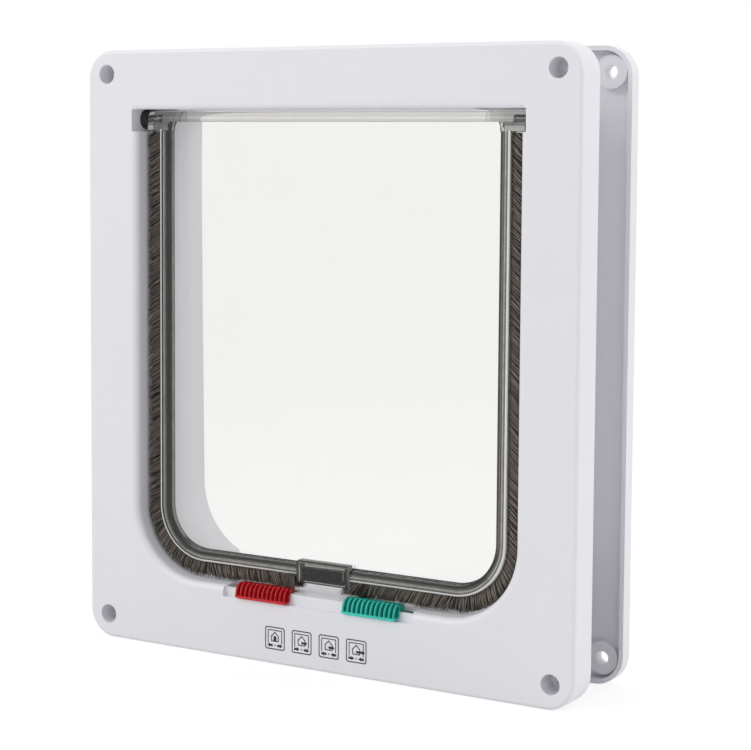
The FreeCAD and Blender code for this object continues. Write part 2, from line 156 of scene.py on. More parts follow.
def make_world():
    """White surround to look at, with a plain level of light from it."""
    world = bpy.data.worlds.new("surround")
    bpy.context.scene.world = world
    world.use_nodes = True
    tree = world.node_tree
    tree.nodes.clear()
    out = tree.nodes.new("ShaderNodeOutputWorld")
    mix = tree.nodes.new("ShaderNodeMixShader")
    lit = tree.nodes.new("ShaderNodeBackground")
    lit.inputs["Color"].default_value = (1, 1, 1, 1)
    lit.inputs["Strength"].default_value = 0.63
    seen = tree.nodes.new("ShaderNodeBackground")
    seen.inputs["Color"].default_value = (1, 1, 1, 1)
    seen.inputs["Strength"].default_value = 1.0
    link(tree, unlit_rays(tree), mix.inputs[0])
    link(tree, lit.outputs[0], mix.inputs[1])
    link(tree, seen.outputs[0], mix.inputs[2])
    link(tree, mix.outputs[0], out.inputs[0])


def make_floor():
    """Pale round floor that keeps a faint shadow near the object and is white far away."""
    angles = np.linspace(0, 2 * math.pi, FLOOR_POINTS + 1)[:-1]
    points = [(FLOOR_RADIUS * math.cos(a), FLOOR_RADIUS * math.sin(a), 0) for a in angles]
    mesh = bpy.data.meshes.new("floor")
    mesh.from_pydata(points, [], [tuple(range(FLOOR_POINTS))])
    floor = bpy.data.objects.new("floor", mesh)
    bpy.context.scene.collection.objects.link(floor)
    mat = bpy.data.materials.new("floor_paper")
    mat.use_nodes = True
    tree = mat.node_tree
    tree.nodes.clear()
    out = tree.nodes.new("ShaderNodeOutputMaterial")
    mix = tree.nodes.new("ShaderNodeMixShader")
    near = tree.nodes.new("ShaderNodeAddShader")
    fade = tree.nodes.new("ShaderNodeMixShader")
    paper = tree.nodes.new("ShaderNodeBsdfDiffuse")
    paper.inputs["Color"].default_value = (0.8, 0.8, 0.8, 1)
    faint = tree.nodes.new("ShaderNodeBsdfDiffuse")
    faint.inputs["Color"].default_value = (0.26, 0.26, 0.26, 1)
    glow = tree.nodes.new("ShaderNodeEmission")
    glow.inputs["Strength"].default_value = 0.8
    white_glow = tree.nodes.new("ShaderNodeEmission")
    white_glow.inputs["Strength"].default_value = 1.0
    place = tree.nodes.new("ShaderNodeTexCoord").outputs["Object"]
    far = tree.nodes.new("ShaderNodeVectorMath")
    far.operation = "LENGTH"
    link(tree, place, far.inputs[0])
    link(tree, spread(tree, far.outputs["Value"], 0, 1, 0.2, 0.9), fade.inputs[0])
    link(tree, faint.outputs[0], near.inputs[0])
    link(tree, glow.outputs[0], near.inputs[1])
    link(tree, near.outputs[0], fade.inputs[1])
    link(tree, white_glow.outputs[0], fade.inputs[2])
    link(tree, unlit_rays(tree), mix.inputs[0])
    link(tree, paper.outputs[0], mix.inputs[1])
    link(tree, fade.outputs[0], mix.inputs[2])
    link(tree, mix.outputs[0], out.inputs[0])
    mesh.materials.append(mat)


# ---- materials ----

def new_material(name):
    """Empty node material: its tree, its shader and a place in the object's own space."""
    mat = bpy.data.materials.new(name)
    mat.use_nodes = True
    tree = mat.node_tree
    shader = tree.nodes["Principled BSDF"]
    place = tree.nodes.new("ShaderNodeTexCoord").outputs["Object"]
    return mat, tree, shader, place


def noise(tree, place, scale, detail):
    """Noise from 0 to 1, with about 1/scale metres from lump to lump."""
    node = tree.nodes.new("ShaderNodeTexNoise")
    node.inputs["Scale"].default_value = scale
    node.inputs["Detail"].default_value = detail
    link(tree, place, node.inputs["Vector"])
    return node.outputs["Fac"]


def spread(tree, value, low, high, from_low=0.3, from_high=0.7):
    """A value mapped to a range."""
    node = tree.nodes.new("ShaderNodeMapRange")
    node.inputs["From Min"].default_value = from_low
    node.inputs["From Max"].default_value = from_high
    node.inputs["To Min"].default_value = low
    node.inputs["To Max"].default_value = high
    link(tree, value, node.inputs["Value"])
    return node.outputs["Result"]


def blend(tree, factor, first, second):
    """Blend of two colours, each three numbers or a socket."""
    node = tree.nodes.new("ShaderNodeMix")
    node.data_type = "RGBA"
    for colour, name in ((first, "A"), (second, "B")):
        if isinstance(colour, tuple):
            node.inputs[name].default_value = (*colour, 1)
        else:
            link(tree, colour, node.inputs[name])
    link(tree, factor, node.inputs["Factor"])
    return node.outputs["Result"]


def attribute(tree, name):
    """Number that the mesh carries under a name."""
    node = tree.nodes.new("ShaderNodeAttribute")
    node.attribute_name = name
    return node.outputs["Fac"]


def bump(tree, height, strength, distance, normal=None):
    """Normal raised by a height, over another normal where one is given."""
    node = tree.nodes.new("ShaderNodeBump")
    node.inputs["Strength"].default_value = strength
    node.inputs["Distance"].default_value = distance
    link(tree, height, node.inputs["Height"])
    if normal is not None:
        link(tree, normal, node.inputs["Normal"])
    return node.outputs["Normal"]


def plastic(name, light, dark, gloss, grain, shine=0.5, valley=None):
    """Moulded plastic: mottled tone, uneven gloss, fine grain over a faint ripple.

    Where a valley colour is given, it is painted shade: the mesh says by a number how deep between two ribs
    each point lies, and there the colour darkens towards the valley colour and the specular level falls to
    nothing.
    """
    mat, tree, shader, place = new_material(name)
    tone = spread(tree, noise(tree, place, 55, 4), 0, 1)
    colour = blend(tree, tone, light, dark)
    if valley:
        # Painted shade between the ribs: darker colour and no specular reflection deep in each valley.
        depth = attribute(tree, "valley")
        colour = blend(tree, depth, colour, valley)
        matt = spread(tree, depth, shine, 0.0, 0, 1)
        link(tree, matt, shader.inputs["Specular IOR Level"])
    else:
        shader.inputs["Specular IOR Level"].default_value = shine
    link(tree, colour, shader.inputs["Base Color"])
    uneven = spread(tree, noise(tree, place, 160, 2), *gloss, 0.2, 0.8)
    link(tree, uneven, shader.inputs["Roughness"])
    ripple = bump(tree, noise(tree, place, 40, 1), 0.05, 0.0002)
    fine = bump(tree, noise(tree, place, 1400, 2), grain, 0.00002, ripple)
    link(tree, fine, shader.inputs["Normal"])
    shader.inputs["IOR"].default_value = 1.5
    return mat


def clear_plastic(name):
    """Smoke-tinted clear plastic with faint flow marks; a number on the mesh says how dark it is and carries
    painted light and shade: a painted highlight turns it partly white and matt, a painted dark edge near
    black and dull.
    """
    mat, tree, shader, place = new_material(name)
    shader.inputs["IOR"].default_value = 1.49
    haze = spread(tree, noise(tree, place, 30, 2), 0, 1)
    thin = blend(tree, haze, (0.985, 0.985, 0.985), (0.975, 0.975, 0.975))
    streak = spread(tree, noise(tree, place, 260, 2), 0, 1)
    thick = blend(tree, streak, (0.22, 0.215, 0.192), (0.13, 0.127, 0.11))
    tint_and_painted_light = attribute(tree, "tint_and_painted_light")
    smoky = blend(tree, spread(tree, tint_and_painted_light, 0, 1, TONE["clear"], TONE["smoky"]), thin, thick)
    # Painted dark edge: near-black colour where the tone marks a dark edge.
    edge = blend(tree, streak, (0.004, 0.0038, 0.003), (0.001, 0.001, 0.0008))
    colour = blend(tree, spread(tree, tint_and_painted_light, 0, 1, 0.6, TONE["painted_dark_edge"]), smoky, edge)
    link(tree, colour, shader.inputs["Base Color"])
    # Painted highlight: where the tone goes below 0, less light passes through and the plastic turns partly
    # white and matt.
    see_through = spread(tree, tint_and_painted_light, 0.3, 1.0, TONE["painted_highlight_edge"], TONE["clear"])
    link(tree, see_through, shader.inputs["Transmission Weight"])
    # Painted dark edges are made dull as well.
    link(tree, spread(tree, tint_and_painted_light, 0.5, 0.0, 0.7, 0.9), shader.inputs["Specular IOR Level"])
    link(tree, spread(tree, noise(tree, place, 120, 2), 0.0, 0.012), shader.inputs["Roughness"])
    link(tree, bump(tree, noise(tree, place, 18, 1), 0.03, 0.0002), shader.inputs["Normal"])
    inside = tree.nodes.new("ShaderNodeVolumeAbsorption")
    inside.inputs["Color"].default_value = (0.42, 0.4, 0.33, 1)
    inside.inputs["Density"].default_value = 60.0
    link(tree, inside.outputs[0], tree.nodes["Material Output"].inputs["Volume"])
    return mat


def metal(name, light, dark, gloss):
    """Metal with a fine mottle and grain."""
    mat, tree, shader, place = new_material(name)
    shader.inputs["Metallic"].default_value = 1.0
    tone = spread(tree, noise(tree, place, 900, 4), 0, 1)
    link(tree, blend(tree, tone, light, dark), shader.inputs["Base Color"])
    link(tree, spread(tree, noise(tree, place, 1500, 3), *gloss), shader.inputs["Roughness"])
    link(tree, bump(tree, noise(tree, place, 2500, 3), 0.3, 0.00005), shader.inputs["Normal"])
    return mat


def pile_fibre(name):
    """Matt fibre whose tone comes from each fibre's own value, which on the left half carries painted shade.
    """
    mat, tree, shader, place = new_material(name)
    mottle = tree.nodes.new("ShaderNodeMath")
    mottle.operation = "MULTIPLY"
    link(tree, attribute(tree, "tone"), mottle.inputs[0])
    link(tree, spread(tree, noise(tree, place, 900, 3), 0.8, 1.15), mottle.inputs[1])
    colour = blend(tree, mottle.outputs[0], (0.008, 0.0068, 0.0055), (0.4, 0.345, 0.3))
    link(tree, colour, shader.inputs["Base Color"])
    link(tree, spread(tree, noise(tree, place, 1500, 2), 0.45, 0.7), shader.inputs["Roughness"])
    shader.inputs["Specular IOR Level"].default_value = 0.2
    return mat


# ---- meshes ----

def make_piece(name, points, faces, material, body, slot, replaced=(), sharp=35):
    """Object from points in millimetres; an edge sharper than the angle stays crisp."""
    mesh = bpy.data.meshes.new(name)
    moved = (np.asarray(points, float) + (0, FACE_Y, 0)) * MM
    mesh.from_pydata(moved.tolist(), [], faces)
    mesh.materials.append(material)
    mesh.shade_smooth()
    mesh.set_sharp_from_angle(angle=math.radians(sharp))
    piece = bpy.data.objects.new(name, mesh)
    bpy.context.scene.collection.objects.link(piece)
    if body:
        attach(piece, body)
        if replaced:
            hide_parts(*replaced)
    return piece


def arc(middle, radius, start, end, count):
    """Points on an arc in a plane, angles in degrees."""
    angles = np.radians(np.linspace(start, end, count))
    return [(middle[0] + radius * math.cos(a), middle[1] + radius * math.sin(a)) for a in angles]


def flap_outline(top):
    """Points and outward normals down the left side, round the foot and up the right side."""
    middle_x = FLAP_HALF - FLAP_CORNER
    middle_z = FLAP_BOTTOM + FLAP_CORNER
    points = []
    for angle in np.linspace(180, 270, 33):
        turn = math.radians(angle)
        nx, nz = math.cos(turn), math.sin(turn)
        points.append((-middle_x + FLAP_CORNER * nx, middle_z + FLAP_CORNER * nz, nx, nz))
    right = [(-x, z, -nx, nz) for x, z, nx, nz in reversed(points)]
    return [(-FLAP_HALF, top, -1, 0), *points, *right, (FLAP_HALF, top, 1, 0)]


def rim_section():
    """Inset and depth of the flap's rim, from the panel's front round to its back."""
    section = [(RIM_WIDTH + 0.35, PANEL_FRONT)]
    section += arc((RIM_WIDTH + 0.35, PANEL_FRONT - 0.35), 0.35, 90, 180, 5)[1:]
    section += [(RIM_WIDTH, PANEL_FRONT - 0.9)]
    section += arc((RIM_WIDTH - 0.45, RIM_FRONT + 0.7), 0.45, 0, -90, 5)
    section += [(3.5, RIM_FRONT + 0.25), (3.3, RIM_FRONT + 0.25)]
    section += [(2.45, RIM_FRONT + 0.25), (2.2, RIM_FRONT + 0.05), (2.0, RIM_FRONT)]
    section += [(1.0, RIM_FRONT), (0.8, RIM_FRONT)]
    section += arc((0.5, RIM_FRONT + 0.5), 0.5, 270, 180, 6)
    section += [(0, GROOVE_FRONT), (GROOVE_DEPTH, GROOVE_FRONT)]
    section += [(GROOVE_DEPTH, GROOVE_BACK), (0, GROOVE_BACK)]
    section += arc((0.6, RIM_BACK - 0.6), 0.6, 180, 90, 5)
    section += arc((RIM_WIDTH - 0.4, RIM_BACK - 0.4), 0.4, 90, 0, 4)
    section += [(RIM_WIDTH + 0.35, PANEL_BACK)]
    return section


def flap_inset(x, z):
    """How far inside the flap's outline a point lies, below the hinge."""
    side = FLAP_HALF - abs(x)
    low = z - FLAP_BOTTOM
    if side < FLAP_CORNER and low < FLAP_CORNER:
        return FLAP_CORNER - math.hypot(FLAP_CORNER - side, FLAP_CORNER - low)
    return min(side, low)


def flap_tint_and_light(place, middle):
    """Tone of the flap at a corner of a face, from its place and the face's middle; it holds painted light
    and shade: painted highlights along the rim's outer edge and its step, a painted dark edge along its inner
    edge, and the rim painted darker on the right and darkest at the foot.
    """
    x, y, z = place
    side, height = abs(middle[0]), middle[2]
    if height > 214.0 and side > 77.8:
        return TONE["ear_foot"]
    if height > 220.0 and side > 71.6:
        return TONE["ear"]
    if height > 217.0 and side < 72:
        return TONE["bar"]
    inset = flap_inset(x, z)
    if flap_inset(middle[0], height) > RIM_WIDTH + 0.4 or inset > RIM_WIDTH + 0.2:
        return TONE["clear"]
    at_foot = height < 44
    # Painted dark edge: the rim's inner strip at its front and, at the foot, all through.
    if inset > 3.25 and (y < PANEL_FRONT or at_foot):
        return TONE["painted_dark_edge"]
    if y > 7.9:
        return TONE["smoky"]
    # Painted highlight along the rim's outer edge, and a fainter one along the step of its front.
    if inset < 0.9:
        return TONE["painted_highlight_edge"]
    if 1.9 < inset < 2.15:
        return TONE["painted_highlight_step"]
    # Painted shade: the rim is darkest at the foot, and darker on the right than on the left.
    if at_foot:
        return TONE["foot_rim_painted_shade"]
    return TONE["right_rim_painted_shade"] if x > 0 else TONE["left_rim_painted_shade"]


def paint_tint_and_light(mesh, tone):
    """Tone of the clear plastic, painted light and shade included, at each corner of each face, from its
    place in millimetres.
    """
    values = []
    for face in mesh.polygons:
        middle = face.center / MM
        for index in face.vertices:
            x, y, z = mesh.vertices[index].co / MM
            values.append(tone((x, y - FACE_Y, z), middle))
    layer = mesh.attributes.new("tint_and_painted_light", "FLOAT", "CORNER")
    layer.data.foreach_set("value", values)


def swept_flap(top):
    """Closed mesh of the flap's rim and panel up to a height."""
    section = rim_section()
    outline = flap_outline(top)
    size = len(section)
    points = []
    for x, z, nx, nz in outline:
        for inset, depth in section:
            points.append((x - nx * inset, depth, z - nz * inset))
    faces = []
    for row in range(len(outline) - 1):
        for col in range(size - 1):
            a = row * size + col
            faces.append((a, a + size, a + size + 1, a + 1))
    rows = range(len(outline))
    faces.append([row * size for row in reversed(rows)])
    faces.append([row * size + size - 1 for row in rows])
    last = (len(outline) - 1) * size
    faces.append([*range(size), *reversed(range(last, last + size))])
    return points, faces


def prism_x(profile, x_start, x_end):
    """Closed mesh of an outline in the plane X = 0, pushed along X."""
    size = len(profile)
    points = [(x_start, y, z) for y, z in profile] + [(x_end, y, z) for y, z in profile]
    faces = [tuple(reversed(range(size))), tuple(range(size, 2 * size))]
    for index in range(size):
        after = (index + 1) % size
        faces.append((index, after, after + size, index + size))
    return points, faces


def rounded_rectangle(low, high, radius, count=5):
    """Outline of a rectangle with round corners."""
    corners = [
        ((high[0] - radius, high[1] - radius), 0),
        ((low[0] + radius, high[1] - radius), 90),
        ((low[0] + radius, low[1] + radius), 180),
        ((high[0] - radius, low[1] + radius), 270),
    ]
    points = []
    for middle, start in corners:
        points += arc(middle, radius, start, start + 90, count)
    return points


def bar_profile(radius):
    """Outline of a round bar about the hinge line, flat underneath."""
    drop = HINGE_Z - BAR_FLOOR
    start = -math.degrees(math.asin(drop / radius))
    return arc((HINGE_Y, HINGE_Z), radius, start, 180 - start, 41)


def clean_normals(piece):
    """Doubled corners of a mesh joined and its faces turned outwards."""
    work = bmesh.new()
    work.from_mesh(piece.data)
    bmesh.ops.remove_doubles(work, verts=work.verts, dist=1e-7)
    bmesh.ops.recalc_face_normals(work, faces=work.faces)
    work.to_mesh(piece.data)
    work.free()


def combine(name, base, tools, material, soften=0):
    """Exact union or difference of simple meshes, its edges rounded when a width is given, left as one plain
    mesh.
    """
    body = make_piece(name, *base, material, None, None)
    clean_normals(body)
    helpers = []
    for operation, points, faces in tools:
        helper = make_piece(name + "_tool", points, faces, material, None, None)
        clean_normals(helper)
        step = body.modifiers.new("step", "BOOLEAN")
        step.operation = operation
        step.solver = "EXACT"
        step.object = helper
        helpers.append(helper)
    if soften:
        rounding = body.modifiers.new("round", "BEVEL")
        rounding.width = soften * MM
        rounding.segments = 4
        rounding.limit_method = "ANGLE"
        rounding.angle_limit = math.radians(50)
    graph = bpy.context.evaluated_depsgraph_get()
    result = bpy.data.meshes.new_from_object(body.evaluated_get(graph))
    old = body.data
    body.modifiers.clear()
    body.data = result
    bpy.data.meshes.remove(old)
    for helper in helpers:
        data = helper.data
        bpy.data.objects.remove(helper)
        bpy.data.meshes.remove(data)
    result.materials.clear()
    result.materials.append(material)
    return body


def cut_faces(piece, planes):
    """Faces of a mesh cut along planes, the mesh left whole."""
    work = bmesh.new()
    work.from_mesh(piece.data)
    for place, normal in planes:
        parts = [*work.verts, *work.edges, *work.faces]
        bmesh.ops.bisect_plane(work, geom=parts, plane_co=Vector(place) * MM, plane_no=normal)
    work.to_mesh(piece.data)
    work.free()


def box_mesh(low, high):
    """Plain box between two corners."""
    outline = [(low[1], low[2]), (high[1], low[2]), (high[1], high[2]), (low[1], high[2])]
    return prism_x(outline, low[0], high[0])


def ear_foot(side):
    """Rounded block that joins an ear to the rim."""
    outline = rounded_rectangle((RIM_FRONT - 0.02, 216.5), (RIM_BACK + 0.02, HINGE_Z + 0.5), 0.7)
    ends = sorted((side * (FLAP_HALF - RIM_WIDTH - 0.03), side * EAR_END))
    return prism_x(outline, *ends)


def make_flap(material):
    """Clear flap with a smooth rounded rim, hinge bar and ears."""
    tools = [("UNION", *prism_x(bar_profile(3.2), -72, 72))]
    for side in (-1, 1):
        ends = sorted((side * 71.5, side * (EAR_END - 0.05)))
        tools.append(("UNION", *prism_x(bar_profile(3.4), *ends)))
        ends = sorted((side * 77.3, side * EAR_END))
        ear = arc((HINGE_Y, HINGE_Z), 3.41, 4, 364, 61)[:-1]
        tools.append(("UNION", *prism_x(ear, *ends)))
        tools.append(("UNION", *ear_foot(side)))
        ends = sorted((side * 82.8, side * 90))
        bore = arc((HINGE_Y, HINGE_Z), 1.26, 2, 362, 25)[:-1]
        tools.append(("DIFFERENCE", *prism_x(bore, *ends)))
    tools.append(("DIFFERENCE", *box_mesh(*BOX_NOTCH)))
    flap = combine("flap_clear", swept_flap(220.9), tools, material)
    flap.data.shade_smooth()
    flap.data.set_sharp_from_angle(angle=math.radians(35))
    # Tint of the flap, with painted highlights along the rim and painted shade on its edges and at the foot.
    paint_tint_and_light(flap.data, flap_tint_and_light)
    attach(flap, "flap")
    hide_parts("flap_panel")


def box_tint_and_light(_place, middle):
    """Tone of the magnet box from a face's middle, with painted light and shade: painted dark edges, a
    painted darker top and painted light on the ends.
    """
    x, y, z = abs(middle[0]), middle[1] - FACE_Y, middle[2]
    if x > BOX_HALF - 0.05:
        return TONE["box_end_painted_light"]
    if z > 42.7 and 6.5 < y < 11.5:
        return TONE["box_top_painted_shade"]
    if x > BOX_PAINTED_EDGE_LINE or z > 42.0 or z < 34.2:
        return TONE["painted_dark_edge"]
    return TONE["box_front"]


def make_housing(material):
    """Clear magnet box with rounded edges, open behind."""
    outline = rounded_rectangle((5.0, 33.8), (12.5, 43.0), 1.3, 7)
    shell = prism_x(outline, -BOX_HALF, BOX_HALF)
    room = box_mesh(*MAGNET_ROOM)
    box = combine("magnet_box", shell, [("DIFFERENCE", *room)], material, 0.8)
    # Faces cut where the painted dark edges at the box's ends begin.
    cut_faces(box, [((side * BOX_PAINTED_EDGE_LINE, 0, 0), (1, 0, 0)) for side in (-1, 1)])
    box.data.shade_smooth()
    box.data.set_sharp_from_angle(angle=math.radians(35))
    # Tint of the magnet box, with painted dark edges, a painted darker top and painted light on its ends.
    paint_tint_and_light(box.data, box_tint_and_light)
    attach(box, "flap")
    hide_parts("magnet_housing")


# ---- pile ----

def pile_roots(along):
    """Points on the outline of one half and outward normals, at runs counted from the pile's top."""
    turn = np.clip((along - SIDE_RUN) / FLAP_CORNER, 0, math.pi / 2)
    normal = np.stack([np.cos(turn), -np.sin(turn)], axis=1)
    past_corner = np.clip(along - SIDE_RUN - CORNER_RUN, 0, None)
    x = FLAP_HALF - FLAP_CORNER + FLAP_CORNER * normal[:, 0] - past_corner
    z = FLAP_BOTTOM + FLAP_CORNER + FLAP_CORNER * normal[:, 1] + np.clip(SIDE_RUN - along, 0, None)
    return x, z, turn, normal


def fibre_mesh(root, middle, tip, width):
    """Tapered three-sided fibres: points and faces of all of them."""
    count = len(root)
    axis = tip - root
    axis /= np.linalg.norm(axis, axis=1, keepdims=True)
    first = np.cross(axis, (0.0, 1.0, 0.0))
    first /= np.linalg.norm(first, axis=1, keepdims=True)
    second = np.cross(axis, first)
    points = np.empty((count, 7, 3))
    for corner in range(3):
        angle = 2 * math.pi * corner / 3
        out = math.cos(angle) * first + math.sin(angle) * second
        points[:, corner] = root + out * width[:, None]
        points[:, corner + 3] = middle + out * width[:, None] * 0.85
    points[:, 6] = tip
    start = np.arange(count)[:, None] * 7
    faces = []
    quads = []
    for corner in range(3):
        after = (corner + 1) % 3
        quads.append(start + np.array([[corner, after, after + 3, corner + 3]]))
        faces.append(start + np.array([[corner + 3, after + 3, 6]]))
    faces.append(start + np.array([[2, 1, 0]]))
    faces = [tuple(row) for group in quads + faces for row in group.tolist()]
    return points.reshape(-1, 3), faces


def backing_mesh(side):
    """Dark strip that the fibres stand in, set in the groove of one half of the flap's edge."""
    front, back = GROOVE_FRONT + 0.05, GROOVE_BACK - 0.05
    inner, outer = GROOVE_DEPTH - 0.05, -0.15
    section = [(inner, front), (outer, front), (outer, back), (inner, back)]
    outline = [row for row in flap_outline(PILE_TOP) if row[0] > 0]
    outline.insert(0, (PILE_START + 0.1, FLAP_BOTTOM, 0, -1))
    points = []
    for x, z, nx, nz in outline:
        points += [(side * (x - nx * inset), depth, z - nz * inset) for inset, depth in section]
    faces = []
    for row in range(len(outline) - 1):
        for col in range(4):
            a = row * 4 + col
            b = row * 4 + (col + 1) % 4
            faces.append((a, b, b + 4, a + 4))
    last = 4 * (len(outline) - 1)
    faces += [(3, 2, 1, 0), (last, last + 1, last + 2, last + 3)]
    return points, faces


def pile_droop(x, turn, side):
    """Angle in degrees below a line outwards: slanting at the side, fanned at the foot."""
    lean = [38, 28, 24, 0] if side > 0 else [2, 18, 24, 0]
    towards_middle = np.interp(x, [PILE_START, 20, 54, 68], lean)
    return 36 + np.degrees(turn) * 0.6 + np.where(turn > FOOT_TURN, towards_middle, 0)


def loose_fibres(rng, count, runs, across, tones, width):
    """Run, place across the depth, tone and thickness of fibres between limits."""
    return rng.uniform(*runs, count), rng.uniform(*across, count), rng.uniform(*tones, count), width


def scatter(rng):
    """Run, place across the depth, tone and thickness of each fibre of one half."""
    length = SIDE_RUN + CORNER_RUN + FLAP_HALF - FLAP_CORNER - PILE_START
    start = -2.5
    rows = [
        loose_fibres(rng, 12300, (start, length), (0.03, 0.97), (0.02, 0.2), 0.12),
        loose_fibres(rng, 1700, (start, length), (0.2, 0.8), (0.3, 0.8), 0.12),
    ]
    for outer_layer in ((0.0, 0.02), (0.98, 1.0)):
        even = np.concatenate([np.arange(start, SIDE_RUN, 1.05), np.arange(SIDE_RUN, length, 0.75)])
        count = len(even)
        even = np.clip(even + rng.uniform(-0.3, 0.3, count), start, length)
        rows.append((even, rng.uniform(*outer_layer, count), rng.uniform(0.5, 0.85, count), 0.15))
    along, across, tone = (np.concatenate([row[i] for row in rows]) for i in range(3))
    width = np.concatenate([row[3] + rng.uniform(0, 0.04, len(row[0])) for row in rows])
    return along, across, tone, width


def beside_lug(side, x, across, turn):
    """Which fibres pass in front of a lock lug, and the depth of their roots and tips."""
    near = (x > LUG_ZONE[0]) & (x < LUG_ZONE[1]) & (turn > FOOT_TURN)
    low, high = (6.0, 6.42) if side < 0 else (6.65, 7.75)
    return near, low + across * (high - low)


def fibre_paths(side, rng):
    """Root, middle, tip, tone and thickness of each fibre of one half, in millimetres."""
    along, across, tone, width = scatter(rng)
    count = len(along)
    x, z, turn, normal = pile_roots(along)
    clump = np.floor((along + 6) / 0.7).astype(int)
    clump_lean = rng.normal(0, 2.5, clump.max() + 1)[clump]
    tone = np.clip(tone + rng.normal(0, 0.04, clump.max() + 1)[clump], 0, 1)
    stray = rng.normal(0, 1, count) * np.where(turn > FOOT_TURN, 7.0, 3.5)
    droop = np.radians(pile_droop(x, turn, side) + clump_lean + stray)
    reach = np.where((turn < 1.2) | (x > 45), 6.9, 6.45) + rng.uniform(-0.7, 0.25, count)
    aim = np.stack([np.cos(droop), -np.sin(droop)], axis=1)
    length = reach / np.clip((aim * normal).sum(axis=1), 0.3, 1)
    depth = GROOVE_FRONT + 0.15 + across * (GROOVE_BACK - GROOVE_FRONT - 0.3)
    tip_depth = RIM_FRONT + 0.15 + across * 5.5
    near, squeezed = beside_lug(side, x, across, turn)
    depth = np.where(near, squeezed, depth)
    tip_depth = np.where(near, squeezed, tip_depth)
    keep = ~(near & (rng.uniform(0, 1, count) < 0.45))
    # The red post stands in front of the flap: part of the fibres bulge over it.
    over_post = (side < 0) & (x < POST_ZONE_END) & (turn > FOOT_TURN) & (across < POST_SHARE)
    depth = np.where(over_post, 6.3, depth)
    tip_depth = np.where(over_post, 4.3, tip_depth)
    # Painted shade: the left half's fibres are 15% darker in tone than the right's.
    if side < 0:
        tone = tone * 0.85
    root = np.stack([x, depth, z], axis=1)
    tip = np.stack([x + aim[:, 0] * length, tip_depth, z + aim[:, 1] * length], axis=1)
    # Fibres that start above the pile's top are cut level with it.
    above = np.clip((z - PILE_TOP) / (z - tip[:, 2]), 0, None)
    keep &= above < 0.85
    root = root + np.where(above > 0, above, 0)[:, None] * (tip - root)
    middle = root * 0.42 + tip * 0.58
    middle[:, 1] = root[:, 1] * 0.15 + tip[:, 1] * 0.85
    middle[:, 2] += rng.uniform(0.0, 0.35, count) * np.cos(turn) * (above <= 0)
    knee = root + (tip - root) * 0.06
    knee[:, 1] = 4.45
    middle = np.where(over_post[:, None], knee, middle)
    for part in (root, middle, tip):
        part[:, 0] *= side
    return root[keep], middle[keep], tip[keep], tone[keep], width[keep]


def make_pile(name, side, material, node):
    """Pile of loose fibres along one half of the flap's edge."""
    root, middle, tip, tone, width = fibre_paths(side, np.random.default_rng(41 + side))
    points, faces = fibre_mesh(root, middle, tip, width)
    base_points, base_faces = backing_mesh(side)
    faces += [tuple(index + len(points) for index in face) for face in base_faces]
    tones = np.concatenate([np.repeat(tone, 7), np.zeros(len(base_points))])
    points = np.concatenate([points, base_points])
    piece = make_piece(name, points, faces, material, "flap", "grey_pile", [node], 80)
    layer = piece.data.attributes.new("tone", "FLOAT", "POINT")
    layer.data.foreach_set("value", tones.astype(np.float32))


# ---- lock grips ----

def grip_valley(along, height):
    """How deep in a valley between two ribs a point of a grip lies, from 0 to 1."""
    wave = 0.5 + 0.5 * np.cos(2 * math.pi * along / RIB_PITCH)
    window = np.clip((height - GRIP_SHOULDER) / 0.5, 0, 1) * np.clip((31.95 - height) / 0.5, 0, 1)
    return wave * window


def grip_front(along, height, low, high):
    """Depth of a grip's front at a place along it and up it."""
    climb = np.clip((height - GRIP_SHOULDER) / (GRIP_TOP - GRIP_SHOULDER), 0, 1)
    lean = GRIP_BACK - 3.6 * np.sqrt(np.clip(1 - climb ** 2, 0, 1))
    edge = np.minimum(height - low, high - height)
    soft = 0.5 * (1 - np.clip(edge / 0.7, 0, 1)) ** 2
    end = np.minimum(along, GRIP_LENGTH - along)
    soft_end = 0.5 * (1 - np.clip(end / 0.6, 0, 1)) ** 2
    return np.minimum(lean + 0.9 * grip_valley(along, height) + soft + soft_end, 1.85)


def make_grip(name, side, material, slot, node, body):
    """Finger grip with round ridges over a plain lip and rounded ends."""
    columns = np.concatenate([
        np.linspace(0, 2.4, 19)[:-1],
        np.linspace(2.4, 23.1, 150)[:-1],
        np.linspace(23.1, GRIP_LENGTH, 19),
    ])
    rows = np.linspace(0, 1, 34)
    points = []
    valley_shade_mask = []
    for along in columns:
        gap = max(0.0, GRIP_CORNER - min(along, GRIP_LENGTH - along))
        cut = GRIP_CORNER - math.sqrt(max(GRIP_CORNER ** 2 - gap ** 2, 0.0))
        low, high = GRIP_FOOT + cut, GRIP_TOP - cut
        height = low + (high - low) * rows
        depth = grip_front(np.full_like(height, along), height, low, high)
        x = side * GRIP_START + side * along
        points += [(x, y, z) for y, z in zip(depth, height)]
        valley_shade_mask += np.sqrt(grip_valley(np.full_like(height, along), height)).tolist()
    across = len(rows)
    count = len(columns)
    front = len(points)
    points += [(x, GRIP_BACK, z) for x, y, z in points]
    faces = []
    for col in range(count - 1):
        for row in range(across - 1):
            a = col * across + row
            faces.append((a, a + 1, a + across + 1, a + across))
            b = a + front
            faces.append((b, b + across, b + across + 1, b + 1))
    for col in range(count - 1):
        for row in (0, across - 1):
            a = col * across + row
            faces.append((a, a + across, a + across + front, a + front))
    for row in range(across - 1):
        for col in (0, count - 1):
            a = col * across + row
            faces.append((a, a + 1, a + 1 + front, a + front))
    grip = make_piece(name, points, faces, material, body, slot, [node], 60)
    # Mask for the painted shade in the valleys between the ribs.
    layer = grip.data.attributes.new("valley", "FLOAT", "POINT")
    layer.data.foreach_set("value", valley_shade_mask + [0.0] * len(valley_shade_mask))
    clean_normals(grip)


# ---- pictograms ----

